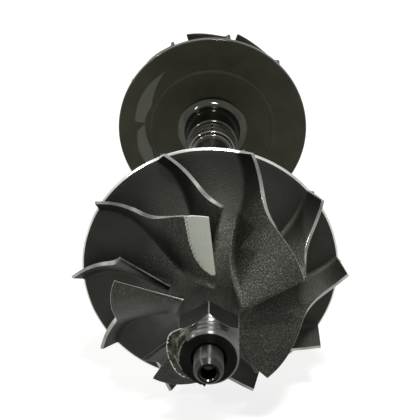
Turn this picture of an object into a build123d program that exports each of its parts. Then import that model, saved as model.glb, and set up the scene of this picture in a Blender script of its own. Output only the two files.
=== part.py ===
from build123d import *
from math import cos, radians, sin
import os

# Turbocharger rotor. The shaft axis is Y: the lock nut looks towards -Y, the turbine wheel
# towards +Y, and +Z is up. The origin is on the axis, in the compressor-side face of the
# thrust bearing plate. Millimetres; outlines of turned pieces are (radius, y) pairs.

# Stack on the stub of the shaft, from the shaft shoulder towards the nut
THRUST_GAP = 0.06
PLATE_THICKNESS = 4.5
WASHER_THICKNESS = 3.0
COLLAR_FLANGE = 2.5
COLLAR_SLEEVE_R = 6.9
THRUST_FACE_R = 12.0
FLINGER_LENGTH = 12.3
STUB_R = 3.8

COLLAR_FACE_Y = -THRUST_GAP
WASHER_FACE_Y = PLATE_THICKNESS + THRUST_GAP
SHOULDER_Y = WASHER_FACE_Y + WASHER_THICKNESS
FLINGER_BACK_Y = COLLAR_FACE_Y - COLLAR_FLANGE
WHEEL_BACK_Y = FLINGER_BACK_Y - FLINGER_LENGTH

# Compressor wheel: five full blades and five splitters on a cast hub
COMPRESSOR_R = 36.0
BACK_HUB_LENGTH = 6.5
RIM_THICKNESS = 0.9
HUB_NOSE_R = 7.8
HUB_NOSE_LENGTH = 38.5
BLADE_SETS = 5
BLADE_PHASE = 144.8
BLADE_TIP_THICKNESS = 0.75
BLADE_ROOT_THICKNESS = 2.0
SPLITTER_START = 0.31
RIM_Y = WHEEL_BACK_Y - BACK_HUB_LENGTH
HUB_NOSE_Y = RIM_Y - HUB_NOSE_LENGTH

# Blade edges as cubic curves of (radius, distance behind the rim plane, angle from the exit)
COMPRESSOR_TIP = ((26.5, -25.1, -54.5), (27.3, -18.9, -11.1), (24.0, -8.1, -18.9), (38.4, -5.9, 0.0))
COMPRESSOR_ROOT = ((8.1, -28.8, -75.0), (9.2, -21.1, -21.0), (17.0, -5.0, -7.5), (36.0, -0.4, 0.0))

# Lock nut: hexagon towards the wheel, turned collar towards the nose, ground for balance
NUT_ACROSS_CORNERS = 17.86
HEX_HEIGHT = 7.2
NUT_HEIGHT = 14.4
NUT_FACE_R = 7.16
NUT_MOUTH_R = 4.5
GROUND_LIP_R = 10.9
GROUND_FROM = 150.0
GROUND_ARC = 110.0
NUT_FACE_Y = HUB_NOSE_Y - NUT_HEIGHT

# Shaft
NOSE_PROUD = 6.9
NOSE_END_R = 3.1
CENTRE_HOLE_R = 1.7
CENTRE_SINK_R = 2.7
CENTRE_HOLE_DEPTH = 5.0
JOURNAL_R = 5.5
WAIST_R = 5.0
NECK_R = 6.2
SEAL_LAND_R = 7.67
NOSE_Y = NUT_FACE_Y - NOSE_PROUD

# Turbine wheel: ten blades on a full back disc, with a hexagonal nose
DISC_Y = RIM_Y + 108.3
TURBINE_R = 32.2
DISC_STEP_R = 20.2
DISC_STEP = 0.3
DISC_RIM = 2.2
TURBINE_BLADES = 10
TURBINE_PHASE = 79.9
TURBINE_TIP_THICKNESS = 0.9
TURBINE_ROOT_THICKNESS = 2.4
TURBINE_TIP = ((31.5, 9.2, 0.0), (29.8, 10.5, 0.0), (28.9, 14.0, 4.0), (28.7, 21.4, 28.4))
TURBINE_ROOT = ((31.0, 1.9, 0.0), (17.0, 3.0, 0.0), (10.0, 11.0, 0.5), (9.0, 22.0, 28.4))
TURBINE_NOSE_START = 23.6
TURBINE_NOSE_LENGTH = 29.5
TURBINE_NOSE_CORNERS = 14.6
BOSS_LENGTH = 14.0
BOSS_FACE_R = 8.6
BOSS_R = 8.75
BOSS_FILLET = 3.1
BOSS_EDGE = 0.9
PILOT_R = 5.0
PILOT_DEPTH = 6.0
BOSS_Y = DISC_Y - BOSS_LENGTH
SEAL_LAND_Y = BOSS_Y - 7.5

# Floating journal bushes and the loose sleeve that keeps them apart
RUNNING_GAP = 0.05
BUSH_R = 9.0
BUSH_LENGTH = 11.0
COMPRESSOR_BUSH_Y = SHOULDER_Y + 1.6
TURBINE_BUSH_Y = COMPRESSOR_BUSH_Y + 25.0
BUSH_HOLES = 4
BUSH_HOLE_TURN = 45.0
BUSH_HOLE_R = 1.3
SPACER_R = 8.6
SPACER_BORE_R = 6.6
SPACER_GAP = 0.3
SPACER_WINDOW_R = 3.2

# Thrust bearing plate
PLATE_R = 22.0
PLATE_BORE_R = COLLAR_SLEEVE_R + 0.1
PLATE_SCREWS = 3
PLATE_SCREW_R = 2.2
PLATE_SCREW_CIRCLE_R = 18.0
PAD_R = 11.8
PAD_RELIEF = 0.6
DRAIN_RING_R = 13.8
OIL_GROOVES = 4

# Seal rings: split rings of square section in grooves of the seal lands
SEAL_RING_WIDTH = 1.5
SEAL_RING_SIDE_GAP = 0.05
SEAL_RING_RADIAL = 1.7
SEAL_RING_PROUD = 0.45
SEAL_RING_SPLIT = 0.6
SEAL_GROOVE_DEPTH = 1.6
TURBINE_RING_Y = (SEAL_LAND_Y + 1.5, SEAL_LAND_Y + 4.5)
FLINGER_LAND_R = 8.6
COMPRESSOR_RING_Y = (WHEEL_BACK_Y + 1.6, WHEEL_BACK_Y + 4.6)


def curve_point(curve, u):
    """Radius, y and angle on a cubic curve at u, from 0 at its first end to 1 at its last."""
    weights = ((1 - u) ** 3, 3 * u * (1 - u) ** 2, 3 * u ** 2 * (1 - u), u ** 3)
    return [sum(w * point[i] for w, point in zip(weights, curve)) for i in range(3)]


def blade_edge(curve, start_y, phase, u):
    """Point in space on a blade edge."""
    radius, y, angle = curve_point(curve, u)
    turn = radians(phase + angle)
    return Vector(radius * cos(turn), start_y + y, radius * sin(turn))


def blade_section(root, tip, start_y, phase, u):
    """Plane of a blade's section at u, on its root edge, and the section's height."""
    step = 0.002
    low = blade_edge(root, start_y, phase, u)
    high = blade_edge(tip, start_y, phase, u)
    span = high - low
    before = blade_edge(root, start_y, phase, u - step) + blade_edge(tip, start_y, phase, u - step)
    after = blade_edge(root, start_y, phase, u + step) + blade_edge(tip, start_y, phase, u + step)
    across = span.cross(after - before).normalized()
    plane = Plane(origin=low, x_dir=span, z_dir=span.normalized().cross(across))
    return plane, span.length


def blade(root, tip, start_y, phase, first, stations, thickness, sink):
    """Lofted blade from the station at u = first to its exit; sink is how far its root goes
    into the hub at each end, and thickness is (root, tip)."""
    with BuildPart() as solid:
        for k in range(stations):
            part_way = k / (stations - 1)
            u = first + (1 - first) * part_way
            plane, height = blade_section(root, tip, start_y, phase, u)
            depth = sink[0] + (sink[1] - sink[0]) * part_way
            with BuildSketch(plane):
                with BuildLine():
                    Polyline(
                        (-depth, -thickness[0] / 2),
                        (height, -thickness[1] / 2),
                        (height, thickness[1] / 2),
                        (-depth, thickness[0] / 2),
                        close=True,
                    )
                make_face()
        loft()
    return solid.part


def seal_ring(y, land_r):
    """Split seal ring whose outside stands proud of its land."""
    with BuildPart() as ring:
        with BuildSketch(Plane.XZ.offset(-y)):
            Circle(land_r + SEAL_RING_PROUD)
            Circle(land_r + SEAL_RING_PROUD - SEAL_RING_RADIAL, mode=Mode.SUBTRACT)
            with Locations((0, land_r)):
                Rectangle(SEAL_RING_SPLIT, 4 * SEAL_RING_RADIAL, mode=Mode.SUBTRACT)
        extrude(amount=-SEAL_RING_WIDTH)
    return ring.part


# Shaft: stub for the stack, two journals with a waist between, neck, seal land and pilot
with BuildPart() as shaft:
    with BuildSketch(Plane.XY):
        with BuildLine():
            Polyline(
                (0, NOSE_Y),
                (NOSE_END_R, NOSE_Y),
                (STUB_R, NOSE_Y + 0.9),
                (STUB_R, SHOULDER_Y),
                (JOURNAL_R - 0.4, SHOULDER_Y),
                (JOURNAL_R, SHOULDER_Y + 0.4),
                (JOURNAL_R, COMPRESSOR_BUSH_Y + BUSH_LENGTH + 1.5),
                (WAIST_R, COMPRESSOR_BUSH_Y + BUSH_LENGTH + 3.0),
                (WAIST_R, TURBINE_BUSH_Y - 3.0),
                (JOURNAL_R, TURBINE_BUSH_Y - 1.5),
                (JOURNAL_R, TURBINE_BUSH_Y + BUSH_LENGTH + 0.5),
                (NECK_R, TURBINE_BUSH_Y + BUSH_LENGTH + 0.8),
                (NECK_R, SEAL_LAND_Y - 0.6),
                (SEAL_LAND_R - 0.4, SEAL_LAND_Y),
                (SEAL_LAND_R, SEAL_LAND_Y + 0.4),
                (SEAL_LAND_R, BOSS_Y),
                (PILOT_R, BOSS_Y),
                (PILOT_R, BOSS_Y + PILOT_DEPTH),
                (0, BOSS_Y + PILOT_DEPTH),
                close=True,
            )
        make_face()
    revolve(axis=Axis.Y)
    for y in TURBINE_RING_Y:
        with BuildSketch(Plane.XZ.offset(SEAL_RING_SIDE_GAP - y)):
            Circle(SEAL_LAND_R + 1)
            Circle(SEAL_LAND_R - SEAL_GROOVE_DEPTH, mode=Mode.SUBTRACT)
        extrude(amount=-SEAL_RING_WIDTH - 2 * SEAL_RING_SIDE_GAP, mode=Mode.SUBTRACT)
    with Locations(Plane(origin=(0, NOSE_Y, 0), z_dir=(0, -1, 0))):
        CounterSinkHole(CENTRE_HOLE_R, CENTRE_SINK_R, CENTRE_HOLE_DEPTH, 90)
shaft.part.label = "shaft"

# Turbine wheel: boss, disc and hub turned as one, with a hexagonal nose and its blades fused on
vane = blade(
    TURBINE_ROOT,
    TURBINE_TIP,
    DISC_Y,
    TURBINE_PHASE,
    0.0,
    9,
    (TURBINE_ROOT_THICKNESS, TURBINE_TIP_THICKNESS),
    (0.6, 1.2),
)
with BuildPart() as turbine_wheel:
    with BuildSketch(Plane.XY):
        with BuildLine():
            RadiusArc((BOSS_FACE_R - BOSS_EDGE, BOSS_Y), (BOSS_FACE_R, BOSS_Y + BOSS_EDGE), -BOSS_EDGE)
            Line((BOSS_FACE_R, BOSS_Y + BOSS_EDGE), (BOSS_R, DISC_Y - BOSS_FILLET))
            RadiusArc((BOSS_R, DISC_Y - BOSS_FILLET), (BOSS_R + BOSS_FILLET, DISC_Y), BOSS_FILLET)
            Polyline(
                (BOSS_R + BOSS_FILLET, DISC_Y),
                (DISC_STEP_R, DISC_Y),
                (DISC_STEP_R, DISC_Y + DISC_STEP),
                (TURBINE_R - 0.3, DISC_Y + DISC_STEP),
                (TURBINE_R, DISC_Y + DISC_STEP + 0.3),
                (TURBINE_R, DISC_Y + DISC_RIM),
            )
            Bezier(
                (TURBINE_R, DISC_Y + DISC_RIM),
                (TURBINE_ROOT[1][0], DISC_Y + TURBINE_ROOT[1][1]),
                (TURBINE_ROOT[2][0], DISC_Y + TURBINE_ROOT[2][1]),
                (TURBINE_ROOT[3][0], DISC_Y + TURBINE_ROOT[3][1]),
            )
            Polyline(
                (TURBINE_ROOT[3][0], DISC_Y + TURBINE_ROOT[3][1]),
                (TURBINE_NOSE_CORNERS / 2, DISC_Y + TURBINE_NOSE_START),
                (0, DISC_Y + TURBINE_NOSE_START),
                (0, BOSS_Y + PILOT_DEPTH),
                (PILOT_R, BOSS_Y + PILOT_DEPTH),
                (PILOT_R, BOSS_Y),
                (BOSS_FACE_R - BOSS_EDGE, BOSS_Y),
            )
        make_face()
    revolve(axis=Axis.Y)
    for k in range(TURBINE_BLADES):
        add(vane.rotate(Axis.Y, k * 360 / TURBINE_BLADES))
    with BuildSketch(Plane.XZ.offset(-DISC_Y - TURBINE_NOSE_START)):
        RegularPolygon(TURBINE_NOSE_CORNERS / 2, 6)
    extrude(amount=TURBINE_NOSE_START - TURBINE_NOSE_LENGTH)
    chamfer(turbine_wheel.faces().sort_by(Axis.Y)[-1].edges(), 0.8)
turbine_wheel.part.label = "turbine_wheel"

# Compressor wheel: hub with a thin back disc, full blades and splitters
thickness = (BLADE_ROOT_THICKNESS, BLADE_TIP_THICKNESS)
sink = (1.6, 0.35)
full_blade = blade(COMPRESSOR_ROOT, COMPRESSOR_TIP, RIM_Y, BLADE_PHASE, 0.0, 11, thickness, sink)
splitter_phase = BLADE_PHASE + 180 / BLADE_SETS
splitter = blade(
    COMPRESSOR_ROOT, COMPRESSOR_TIP, RIM_Y, splitter_phase, SPLITTER_START, 8, thickness, sink
)
with BuildPart() as compressor_wheel:
    with BuildSketch(Plane.XY):
        with BuildLine():
            Bezier(
                (COMPRESSOR_ROOT[0][0], RIM_Y + COMPRESSOR_ROOT[0][1]),
                (COMPRESSOR_ROOT[1][0], RIM_Y + COMPRESSOR_ROOT[1][1]),
                (COMPRESSOR_ROOT[2][0], RIM_Y + COMPRESSOR_ROOT[2][1]),
                (COMPRESSOR_R, RIM_Y + COMPRESSOR_ROOT[3][1]),
            )
            Line(
                (COMPRESSOR_R, RIM_Y + COMPRESSOR_ROOT[3][1]),
                (COMPRESSOR_R, RIM_Y + COMPRESSOR_ROOT[3][1] + RIM_THICKNESS),
            )
            Bezier(
                (COMPRESSOR_R, RIM_Y + COMPRESSOR_ROOT[3][1] + RIM_THICKNESS),
                (22.0, RIM_Y + 2.2),
                (13.0, RIM_Y + 3.2),
                (9.6, RIM_Y + BACK_HUB_LENGTH - 0.6),
            )
            Polyline(
                (9.6, RIM_Y + BACK_HUB_LENGTH - 0.6),
                (9.2, WHEEL_BACK_Y),
                (STUB_R, WHEEL_BACK_Y),
                (STUB_R, HUB_NOSE_Y),
                (HUB_NOSE_R - 0.4, HUB_NOSE_Y),
                (HUB_NOSE_R, HUB_NOSE_Y + 0.4),
                (COMPRESSOR_ROOT[0][0], RIM_Y + COMPRESSOR_ROOT[0][1]),
            )
        make_face()
    revolve(axis=Axis.Y)
    for k in range(BLADE_SETS):
        add(full_blade.rotate(Axis.Y, k * 360 / BLADE_SETS))
        add(splitter.rotate(Axis.Y, k * 360 / BLADE_SETS))
compressor_wheel.part.label = "compressor_wheel"

# Lock nut: hexagon, turned collar with two grooves, and the lip left by balance grinding
with BuildPart() as lock_nut:
    with BuildSketch(Plane(origin=(0, HUB_NOSE_Y, 0), x_dir=(0, 0, 1), z_dir=(0, -1, 0))):
        RegularPolygon(NUT_ACROSS_CORNERS / 2, 6)
    extrude(amount=HEX_HEIGHT)
    with BuildSketch(Plane.XY):
        with BuildLine():
            Polyline(
                (STUB_R, HUB_NOSE_Y - HEX_HEIGHT + 1.0),
                (NUT_ACROSS_CORNERS / 2 - 0.3, HUB_NOSE_Y - HEX_HEIGHT + 1.0),
                (NUT_ACROSS_CORNERS / 2 - 1.1, HUB_NOSE_Y - HEX_HEIGHT - 1.2),
                (NUT_FACE_R + 0.35, HUB_NOSE_Y - HEX_HEIGHT - 1.2),
                (NUT_FACE_R + 0.35, HUB_NOSE_Y - HEX_HEIGHT - 2.0),
                (NUT_FACE_R + 0.7, HUB_NOSE_Y - HEX_HEIGHT - 2.3),
                (NUT_FACE_R + 0.7, HUB_NOSE_Y - HEX_HEIGHT - 3.6),
                (NUT_FACE_R + 0.25, HUB_NOSE_Y - HEX_HEIGHT - 3.9),
                (NUT_FACE_R + 0.25, HUB_NOSE_Y - HEX_HEIGHT - 4.6),
                (NUT_FACE_R + 0.6, HUB_NOSE_Y - HEX_HEIGHT - 4.9),
                (NUT_FACE_R + 0.6, NUT_FACE_Y + 0.5),
                (NUT_FACE_R, NUT_FACE_Y),
                (STUB_R, NUT_FACE_Y),
                close=True,
            )
        make_face()
    revolve(axis=Axis.Y)
    with BuildSketch(Plane.XY.rotated((0, -GROUND_FROM, 0))):
        with BuildLine():
            Polyline(
                (STUB_R + 1, HUB_NOSE_Y - HEX_HEIGHT + 1.6),
                (NUT_ACROSS_CORNERS / 2 - 0.6, HUB_NOSE_Y - HEX_HEIGHT + 1.6),
                (GROUND_LIP_R, HUB_NOSE_Y - HEX_HEIGHT - 0.4),
                (GROUND_LIP_R, HUB_NOSE_Y - HEX_HEIGHT - 0.9),
                (NUT_FACE_R, NUT_FACE_Y + 0.6),
                (STUB_R + 1, NUT_FACE_Y + 0.6),
                close=True,
            )
        make_face()
    revolve(axis=Axis.Y, revolution_arc=-GROUND_ARC)
    with BuildSketch(Plane.XY):
        with BuildLine():
            Polyline(
                (0, HUB_NOSE_Y),
                (STUB_R, HUB_NOSE_Y),
                (STUB_R, NUT_FACE_Y + 0.8),
                (NUT_MOUTH_R, NUT_FACE_Y),
                (0, NUT_FACE_Y),
                close=True,
            )
        make_face()
    revolve(axis=Axis.Y, mode=Mode.SUBTRACT)
lock_nut.part.label = "lock_nut"

# Oil flinger: sleeve with two seal ring grooves and a dished flinger flange
with BuildPart() as oil_flinger:
    with BuildSketch(Plane.XY):
        with BuildLine():
            Polyline(
                (STUB_R, WHEEL_BACK_Y),
                (FLINGER_LAND_R - 0.3, WHEEL_BACK_Y),
                (FLINGER_LAND_R, WHEEL_BACK_Y + 0.3),
                (FLINGER_LAND_R, WHEEL_BACK_Y + 7.6),
                (7.6, WHEEL_BACK_Y + 8.4),
                (7.6, FLINGER_BACK_Y - 2.4),
                (11.4, FLINGER_BACK_Y - 2.4),
                (13.0, FLINGER_BACK_Y - 3.6),
                (13.6, FLINGER_BACK_Y - 3.2),
                (13.6, FLINGER_BACK_Y - 0.6),
                (13.0, FLINGER_BACK_Y),
                (STUB_R, FLINGER_BACK_Y),
                close=True,
            )
        make_face()
    revolve(axis=Axis.Y)
    for y in COMPRESSOR_RING_Y:
        with BuildSketch(Plane.XZ.offset(SEAL_RING_SIDE_GAP - y)):
            Circle(FLINGER_LAND_R + 1)
            Circle(FLINGER_LAND_R - SEAL_GROOVE_DEPTH, mode=Mode.SUBTRACT)
        extrude(amount=-SEAL_RING_WIDTH - 2 * SEAL_RING_SIDE_GAP, mode=Mode.SUBTRACT)
oil_flinger.part.label = "oil_flinger"

# Thrust collar: flange on one side of the thrust plate, sleeve through its bore
with BuildPart() as thrust_collar:
    with BuildSketch(Plane.XY):
        with BuildLine():
            Polyline(
                (STUB_R, FLINGER_BACK_Y),
                (THRUST_FACE_R - 0.3, FLINGER_BACK_Y),
                (THRUST_FACE_R, FLINGER_BACK_Y + 0.3),
                (THRUST_FACE_R, COLLAR_FACE_Y - 0.3),
                (THRUST_FACE_R - 0.3, COLLAR_FACE_Y),
                (COLLAR_SLEEVE_R, COLLAR_FACE_Y),
                (COLLAR_SLEEVE_R, WASHER_FACE_Y),
                (STUB_R, WASHER_FACE_Y),
                close=True,
            )
        make_face()
    revolve(axis=Axis.Y)
thrust_collar.part.label = "thrust_collar"

# Thrust washer: the other running face, clamped on the shaft shoulder
with BuildPart() as thrust_washer:
    with BuildSketch(Plane.XZ.offset(-WASHER_FACE_Y)):
        Circle(THRUST_FACE_R)
        Circle(STUB_R, mode=Mode.SUBTRACT)
    extrude(amount=-WASHER_THICKNESS)
    chamfer(thrust_washer.edges().filter_by(GeomType.CIRCLE).sort_by(SortBy.RADIUS)[-2:], 0.3)
thrust_washer.part.label = "thrust_washer"

# Thrust bearing: bronze plate with a pad ring inside a drain groove each side, oil grooves
# across the pads and three screw holes
with BuildPart() as thrust_bearing:
    with BuildSketch(Plane.XY):
        with BuildLine():
            Polyline(
                (PLATE_BORE_R, 0),
                (PAD_R, 0),
                (PAD_R, PAD_RELIEF),
                (DRAIN_RING_R, PAD_RELIEF),
                (DRAIN_RING_R, 0),
                (PLATE_R - 0.5, 0),
                (PLATE_R, 0.5),
                (PLATE_R, PLATE_THICKNESS - 0.5),
                (PLATE_R - 0.5, PLATE_THICKNESS),
                (DRAIN_RING_R, PLATE_THICKNESS),
                (DRAIN_RING_R, PLATE_THICKNESS - PAD_RELIEF),
                (PAD_R, PLATE_THICKNESS - PAD_RELIEF),
                (PAD_R, PLATE_THICKNESS),
                (PLATE_BORE_R, PLATE_THICKNESS),
                close=True,
            )
        make_face()
    revolve(axis=Axis.Y)
    with BuildSketch(Plane.XZ) as screw_circle:
        with PolarLocations(PLATE_SCREW_CIRCLE_R, PLATE_SCREWS, start_angle=90):
            Circle(PLATE_SCREW_R)
    extrude(amount=-PLATE_THICKNESS, mode=Mode.SUBTRACT)
    for face_y in (0.0, PLATE_THICKNESS - PAD_RELIEF):
        with BuildSketch(Plane.XZ.offset(-face_y)) as oil_grooves:
            with PolarLocations((PLATE_BORE_R + PAD_R) / 2, OIL_GROOVES, start_angle=45):
                Rectangle(PAD_R - PLATE_BORE_R + 1, 1.6)
        extrude(amount=-PAD_RELIEF, mode=Mode.SUBTRACT)
thrust_bearing.part.label = "thrust_bearing"


def journal_bush(y):
    """Full-floating bush with a ring of oil holes round its middle."""
    with BuildPart() as bush:
        with BuildSketch(Plane.XZ.offset(-y)):
            Circle(BUSH_R)
            Circle(JOURNAL_R + RUNNING_GAP, mode=Mode.SUBTRACT)
        extrude(amount=-BUSH_LENGTH)
        chamfer(bush.edges().filter_by(GeomType.CIRCLE).sort_by(SortBy.RADIUS)[-2:], 0.6)
        for k in range(BUSH_HOLES):
            turn = radians(BUSH_HOLE_TURN + k * 360 / BUSH_HOLES)
            direction = (cos(turn), 0, sin(turn))
            with BuildSketch(Plane(origin=(0, y + BUSH_LENGTH / 2, 0), x_dir=(0, 1, 0), z_dir=direction)):
                Circle(BUSH_HOLE_R)
            extrude(amount=BUSH_R + 1, mode=Mode.SUBTRACT)
    return bush.part


compressor_journal_bush = journal_bush(COMPRESSOR_BUSH_Y)
compressor_journal_bush.label = "compressor_journal_bush"
turbine_journal_bush = journal_bush(TURBINE_BUSH_Y)
turbine_journal_bush.label = "turbine_journal_bush"

# Bearing spacer: loose tube between the bushes, with drain windows
with BuildPart() as bearing_spacer:
    spacer_start = COMPRESSOR_BUSH_Y + BUSH_LENGTH + SPACER_GAP
    spacer_length = TURBINE_BUSH_Y - SPACER_GAP - spacer_start
    with BuildSketch(Plane.XZ.offset(-spacer_start)):
        Circle(SPACER_R)
        Circle(SPACER_BORE_R, mode=Mode.SUBTRACT)
    extrude(amount=-spacer_length)
    with BuildSketch(Plane.XY.offset(-SPACER_R - 1)):
        with Locations((0, spacer_start + spacer_length / 2)):
            SlotOverall(spacer_length * 0.6, 2 * SPACER_WINDOW_R, rotation=90)
    extrude(amount=2 * SPACER_R + 2, mode=Mode.SUBTRACT)
bearing_spacer.part.label = "bearing_spacer"

# Seal rings
turbine_seal_ring_inner = seal_ring(TURBINE_RING_Y[0], SEAL_LAND_R)
turbine_seal_ring_inner.label = "turbine_seal_ring_inner"
turbine_seal_ring_outer = seal_ring(TURBINE_RING_Y[1], SEAL_LAND_R)
turbine_seal_ring_outer.label = "turbine_seal_ring_outer"
compressor_seal_ring_inner = seal_ring(COMPRESSOR_RING_Y[1], FLINGER_LAND_R)
compressor_seal_ring_inner.label = "compressor_seal_ring_inner"
compressor_seal_ring_outer = seal_ring(COMPRESSOR_RING_Y[0], FLINGER_LAND_R)
compressor_seal_ring_outer.label = "compressor_seal_ring_outer"

os.makedirs("parts", exist_ok=True)
export_step(shaft.part, "parts/shaft.step")
export_step(turbine_wheel.part, "parts/turbine_wheel.step")
export_step(compressor_wheel.part, "parts/compressor_wheel.step")
export_step(lock_nut.part, "parts/lock_nut.step")
export_step(oil_flinger.part, "parts/oil_flinger.step")
export_step(thrust_collar.part, "parts/thrust_collar.step")
export_step(thrust_washer.part, "parts/thrust_washer.step")
export_step(thrust_bearing.part, "parts/thrust_bearing.step")
export_step(compressor_journal_bush, "parts/compressor_journal_bush.step")
export_step(turbine_journal_bush, "parts/turbine_journal_bush.step")
export_step(bearing_spacer.part, "parts/bearing_spacer.step")
export_step(turbine_seal_ring_inner, "parts/turbine_seal_ring_inner.step")
export_step(turbine_seal_ring_outer, "parts/turbine_seal_ring_outer.step")
export_step(compressor_seal_ring_inner, "parts/compressor_seal_ring_inner.step")
export_step(compressor_seal_ring_outer, "parts/compressor_seal_ring_outer.step")
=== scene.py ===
"""Looks of a turbocharger rotor: wheels, shaft, lock nut, bearings and seal rings.

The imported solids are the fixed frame. The wheels, the shaft and the lock nut get finer
meshes that stand for their solids; the bearing pieces keep their solids and are dressed.
Sizes of shapes are millimetres, in the frame's own axes, and MeshMaker turns them into
metres. Finishes and lamps are in metres, apart from what says otherwise. The shaft axis is
Y, the lock nut looks towards -Y, and +Z is up.
"""

from __future__ import annotations

import logging
import math
from dataclasses import dataclass, field
from enum import Enum

import bpy
import numpy as np
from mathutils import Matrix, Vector


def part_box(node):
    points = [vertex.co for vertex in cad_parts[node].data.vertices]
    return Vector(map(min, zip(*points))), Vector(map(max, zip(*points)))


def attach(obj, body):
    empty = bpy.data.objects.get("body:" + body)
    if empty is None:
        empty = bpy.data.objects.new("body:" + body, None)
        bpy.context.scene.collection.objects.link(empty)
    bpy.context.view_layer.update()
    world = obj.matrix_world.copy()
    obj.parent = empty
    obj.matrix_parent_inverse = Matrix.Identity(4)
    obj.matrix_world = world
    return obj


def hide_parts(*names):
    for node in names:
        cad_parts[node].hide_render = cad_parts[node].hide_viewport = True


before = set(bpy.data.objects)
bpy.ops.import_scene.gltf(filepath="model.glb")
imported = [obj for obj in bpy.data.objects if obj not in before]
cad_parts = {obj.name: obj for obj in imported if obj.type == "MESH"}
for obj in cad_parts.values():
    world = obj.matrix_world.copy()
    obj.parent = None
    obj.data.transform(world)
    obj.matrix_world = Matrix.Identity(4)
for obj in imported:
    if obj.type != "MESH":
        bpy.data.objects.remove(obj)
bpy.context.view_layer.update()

MM = 0.001
OUTSIDE = -9.0
ON_AXIS = 1e-9
log = logging.getLogger("rotor")

Point = tuple[float, float]
Triple = tuple[float, float, float]
Curve = tuple[Triple, ...]
Face = tuple[int, ...]
Socket = bpy.types.NodeSocket
Input = Socket | float | tuple[float, ...]


class Surface(Enum):
    """What a face is, which decides its finish."""

    CAST = "bare casting"
    MACHINED = "turned on a lathe"
    WORN = "edge worn bright"
    RIM = "edge of the compressor wheel's disc"
    BACK = "back of the compressor wheel's disc"
    GROUND = "ground round"
    BLACKENED = "dark flat face"
    HOLE = "centre hole"
    CHAMFER = "chamfer at the shaft's nose"
    FLAT = "flat of the hexagon"
    SCORED = "ground by hand"
    # Painted highlight along the lock nut's lip edge and hexagon corners.
    EDGE_HIGHLIGHT = "edge with painted highlight"


class Finish:
    """Something that makes a material."""

    def make(self) -> bpy.types.Material:
        """The material."""
        raise NotImplementedError


@dataclass
class MeshMaker:
    """Collects vertices and faces in millimetres and turns them into one Blender mesh.

    Attributes:
        verts: blocks of vertices, each an array of shape (n, 3).
        faces: vertex indices of each face.
        marks: what each face is.
        milled: how far each vertex lies inside a milled patch, in millimetres.
        origin_y: y that the blocks' own y starts from.
    """

    verts: list[np.ndarray] = field(default_factory=list)
    faces: list[Face] = field(default_factory=list)
    marks: list[Surface] = field(default_factory=list)
    milled: list[np.ndarray] = field(default_factory=list)
    origin_y: float = 0.0

    def add(
        self, points: np.ndarray, faces: list[Face], marks: list[Surface], milled: np.ndarray | None = None
    ) -> None:
        """Adds one block of geometry.

        Args:
            points: vertices, shape (n, 3).
            faces: faces that index into this block alone.
            marks: what each face is.
            milled: how far each vertex lies inside a milled patch; none lies in one if left out.
        """
        start = sum(len(block) for block in self.verts)
        self.verts.append(points + [0.0, self.origin_y, 0.0])
        self.milled.append(np.full(len(points), OUTSIDE) if milled is None else milled)
        self.faces += [tuple(start + i for i in face) for face in faces]
        self.marks += marks

    def build(self, name: str, sharp_degrees: float, finishes: dict[Surface, Finish]) -> bpy.types.Object:
        """Makes the object, dressed, and smooth-shaded except along sharp edges.

        Args:
            name: name of the piece.
            sharp_degrees: edges whose faces turn by more than this stay sharp.
            finishes: the finish of each surface that the marks name.

        Returns:
            The new object, linked to the scene.
        """
        mesh = bpy.data.meshes.new(name)
        mesh.from_pydata((np.concatenate(self.verts) * MM).tolist(), [], self.faces)
        mesh.polygons.foreach_set("use_smooth", [True] * len(self.faces))
        slots = {surface: slot for slot, surface in enumerate(finishes)}
        mesh.polygons.foreach_set("material_index", [slots[mark] for mark in self.marks])
        depth = mesh.attributes.new("milled", "FLOAT", "POINT")
        depth.data.foreach_set("value", np.concatenate(self.milled).tolist())
        mesh.update()
        mesh.validate()
        mesh.set_sharp_from_angle(angle=math.radians(sharp_degrees))
        for finish in finishes.values():
            mesh.materials.append(finish.make())
        piece = bpy.data.objects.new(name, mesh)
        bpy.context.scene.collection.objects.link(piece)
        return piece


def ring(radius: float | np.ndarray, y: float, turn: np.ndarray) -> np.ndarray:
    """Vertices round the Y axis.

    Args:
        radius: one radius for all of them, or one for each.
        y: their y.
        turn: their angles from +X towards +Z, in radians.

    Returns:
        One row for each angle.
    """
    return np.stack([radius * np.cos(turn), np.full(len(turn), y), radius * np.sin(turn)], axis=1)


def ring_faces(rows: int, columns: int, close_rows: bool) -> list[Face]:
    """Quads of a grid whose columns go round and meet.

    Args:
        rows: number of rings.
        columns: vertices in each ring.
        close_rows: whether the last ring joins the first.

    Returns:
        The faces, as indices into a row-by-row list of vertices.
    """
    faces = []
    for i in range(rows if close_rows else rows - 1):
        low = i * columns
        high = ((i + 1) % rows) * columns
        for j in range(columns):
            after = (j + 1) % columns
            faces.append((low + j, low + after, high + after, high + j))
    return faces


def rounded(corners: list[tuple[float, ...]], steps: int = 4) -> list[Point]:
    """Outline with its corners rounded.

    Args:
        corners: (radius, y) or (radius, y, fillet) of each corner, in order; ends stay sharp.
        steps: straight pieces in each fillet.

    Returns:
        The outline's points.
    """
    points: list[Point] = [corners[0][:2]]
    for before, here, after in zip(corners, corners[1:], corners[2:]):
        fillet = here[2] if len(here) > 2 else 0.0
        corner = np.array(here[:2])
        back = np.array(before[:2]) - corner
        ahead = np.array(after[:2]) - corner
        turn = math.acos(np.clip(back @ ahead / np.linalg.norm(back) / np.linalg.norm(ahead), -1, 1))
        if fillet <= 0 or turn > math.pi - 0.02:
            points.append(tuple(corner))
            continue
        reach = fillet / math.tan(turn / 2)
        first = corner + back / np.linalg.norm(back) * reach
        last = corner + ahead / np.linalg.norm(ahead) * reach
        for k in range(steps + 1):
            part = k / steps
            points.append(tuple((1 - part) ** 2 * first + 2 * part * (1 - part) * corner + part**2 * last))
    points.append(corners[-1][:2])
    return points


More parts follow.
